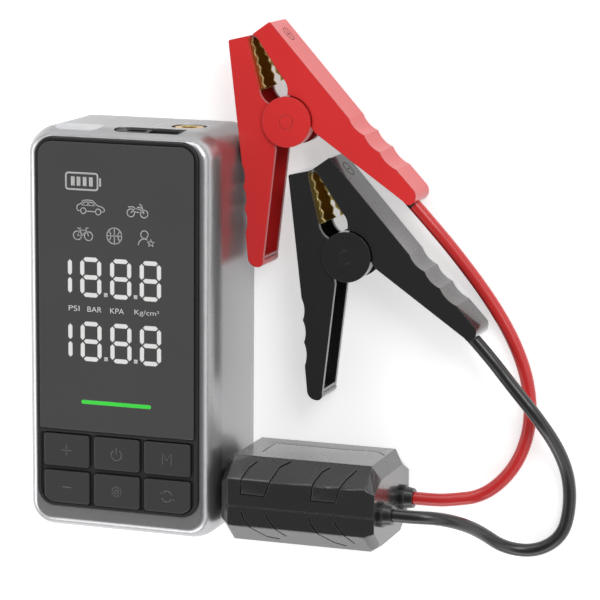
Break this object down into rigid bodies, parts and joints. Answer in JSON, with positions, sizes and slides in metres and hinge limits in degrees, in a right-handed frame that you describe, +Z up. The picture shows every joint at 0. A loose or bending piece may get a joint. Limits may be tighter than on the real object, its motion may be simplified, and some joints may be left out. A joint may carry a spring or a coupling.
{
  "type": "jump starter pack",
  "caption": "Car jump starter and air compressor pack with a display, a keypad, and a plugged-in lead that ends in a red and a black battery clamp.",
  "frame": {"origin": "centre of the pack's flat back face, which lies on the table", "axes": "+X across the pack towards the jump lead, +Y along the pack to the end with the ports, +Z up out of the display"},
  "size_m": [0.2396, 0.2317, 0.0544],
  "materials": {
    "silver_housing": "satin",
    "black_frame": "matte",
    "smoked_window": "gloss",
    "dark_keys": "matte",
    "green_light_guide": "gloss",
    "silicone": "matte",
    "white_plastic": "matte",
    "clear_lens": "frosted",
    "circuit_board": "satin",
    "plated_steel": "satin",
    "steel": "satin",
    "brass_outlet": "satin",
    "pump_alloy": "cast",
    "cell_foil": "foil",
    "copper": "satin",
    "module_plastic": "matte",
    "red_plastic": "satin",
    "black_plastic": "satin",
    "jaw_copper": "satin",
    "red_silicone": "satin",
    "black_silicone": "satin"
  },
  "bodies": {
    "pack": {"front_housing": "silver_housing", "rear_cover": "silver_housing", "screws": "steel", "front_bezel": "black_frame", "display_window": "smoked_window", "status_light_bar": "green_light_guide", "key_mat": "silicone", "icon_light_box": "white_plastic", "digit_displays": "white_plastic", "display_board": "circuit_board", "torch_lens": "clear_lens", "torch_light": "white_plastic", "port_bay": "black_frame", "usb_sockets": "plated_steel", "port_board": "circuit_board", "air_outlet": "brass_outlet", "outlet_nut": "brass_outlet", "air_tube": "silicone", "cylinder_head": "pump_alloy", "pump_cylinder": "pump_alloy", "motor_can": "plated_steel", "gearbox_frame": "pump_alloy", "cell_tray": "black_frame", "battery_cells": "cell_foil", "cell_board": "circuit_board", "bus_bars": "copper", "main_board": "circuit_board", "board_parts": "black_frame", "jump_socket": "black_frame", "socket_contacts": "copper"},
    "piston": {"piston": "pump_alloy"},
    "crank": {"crank_shaft": "steel", "crank_gear": "white_plastic"},
    "rotor": {"motor_pinion": "steel"},
    "lead": {"plug_body": "black_plastic", "plug_contacts": "copper", "module_upper_shell": "module_plastic", "module_lower_shell": "module_plastic", "module_board": "circuit_board", "cable_ends": "black_silicone", "red_grommet": "black_silicone", "black_grommet": "black_silicone", "red_cable": "red_silicone", "black_cable": "black_silicone", "red_fixed_handle": "red_plastic", "black_fixed_handle": "black_plastic", "red_fixed_jaw": "jaw_copper", "black_fixed_jaw": "jaw_copper", "pivot_pins": "steel", "clamp_springs": "steel"},
    "red_clamp_arm": {"red_moving_handle": "red_plastic", "red_moving_jaw": "jaw_copper"},
    "black_clamp_arm": {"black_moving_handle": "black_plastic", "black_moving_jaw": "jaw_copper"},
    "key_plus_body": {"key_plus": "dark_keys"},
    "key_power_body": {"key_power": "dark_keys"},
    "key_mode_body": {"key_mode": "dark_keys"},
    "key_minus_body": {"key_minus": "dark_keys"},
    "key_light_body": {"key_light": "dark_keys"},
    "key_reset_body": {"key_reset": "dark_keys"}
  },
  "joints": [
    {"name": "key_plus_press", "type": "slide", "parent": "pack", "child": "key_plus_body", "axis": [0, 0, -1], "range_m": [0, 0.0004], "stiffness_N_per_m": 600},
    {"name": "key_power_press", "type": "slide", "parent": "pack", "child": "key_power_body", "axis": [0, 0, -1], "range_m": [0, 0.0004], "stiffness_N_per_m": 600},
    {"name": "key_mode_press", "type": "slide", "parent": "pack", "child": "key_mode_body", "axis": [0, 0, -1], "range_m": [0, 0.0004], "stiffness_N_per_m": 600},
    {"name": "key_minus_press", "type": "slide", "parent": "pack", "child": "key_minus_body", "axis": [0, 0, -1], "range_m": [0, 0.0004], "stiffness_N_per_m": 600},
    {"name": "key_light_press", "type": "slide", "parent": "pack", "child": "key_light_body", "axis": [0, 0, -1], "range_m": [0, 0.0004], "stiffness_N_per_m": 600},
    {"name": "key_reset_press", "type": "slide", "parent": "pack", "child": "key_reset_body", "axis": [0, 0, -1], "range_m": [0, 0.0004], "stiffness_N_per_m": 600},
    {"name": "crank_spin", "type": "hinge", "parent": "pack", "child": "crank", "pos_m": [0.023, 0.0251, 0.038], "axis": [0, 0, 1], "continuous": true},
    {"name": "rotor_spin", "type": "hinge", "parent": "pack", "child": "rotor", "pos_m": [0.023, 0.00335, 0.038], "axis": [0, 0, 1], "continuous": true},
    {"name": "piston_stroke", "type": "slide", "parent": "pack", "child": "piston", "axis": [0, -1, 0], "range_m": [0, 0.008]},
    {"name": "plug_pull", "type": "slide", "parent": "pack", "child": "lead", "axis": [1, 0, 0], "range_m": [0, 0.016]},
    {"name": "red_clamp_open", "type": "hinge", "parent": "lead", "child": "red_clamp_arm", "pos_m": [0.0669, 0.0935, 0.0114], "axis": [0, 0, 1], "range_deg": [0, 7], "stiffness_Nm_per_rad": 0.6, "springref_deg": -28.65, "deforming": ["clamp_springs"]},
    {"name": "black_clamp_open", "type": "hinge", "parent": "lead", "child": "black_clamp_arm", "pos_m": [0.0949, 0.0359, 0.0114], "axis": [0, 0, 1], "range_deg": [0, 7], "stiffness_Nm_per_rad": 0.6, "springref_deg": -28.65, "deforming": ["clamp_springs"]}
  ],
  "couplings": [
    {"joint": "rotor_spin", "follows": "crank_spin", "ratio": -4.1667}
  ]
}
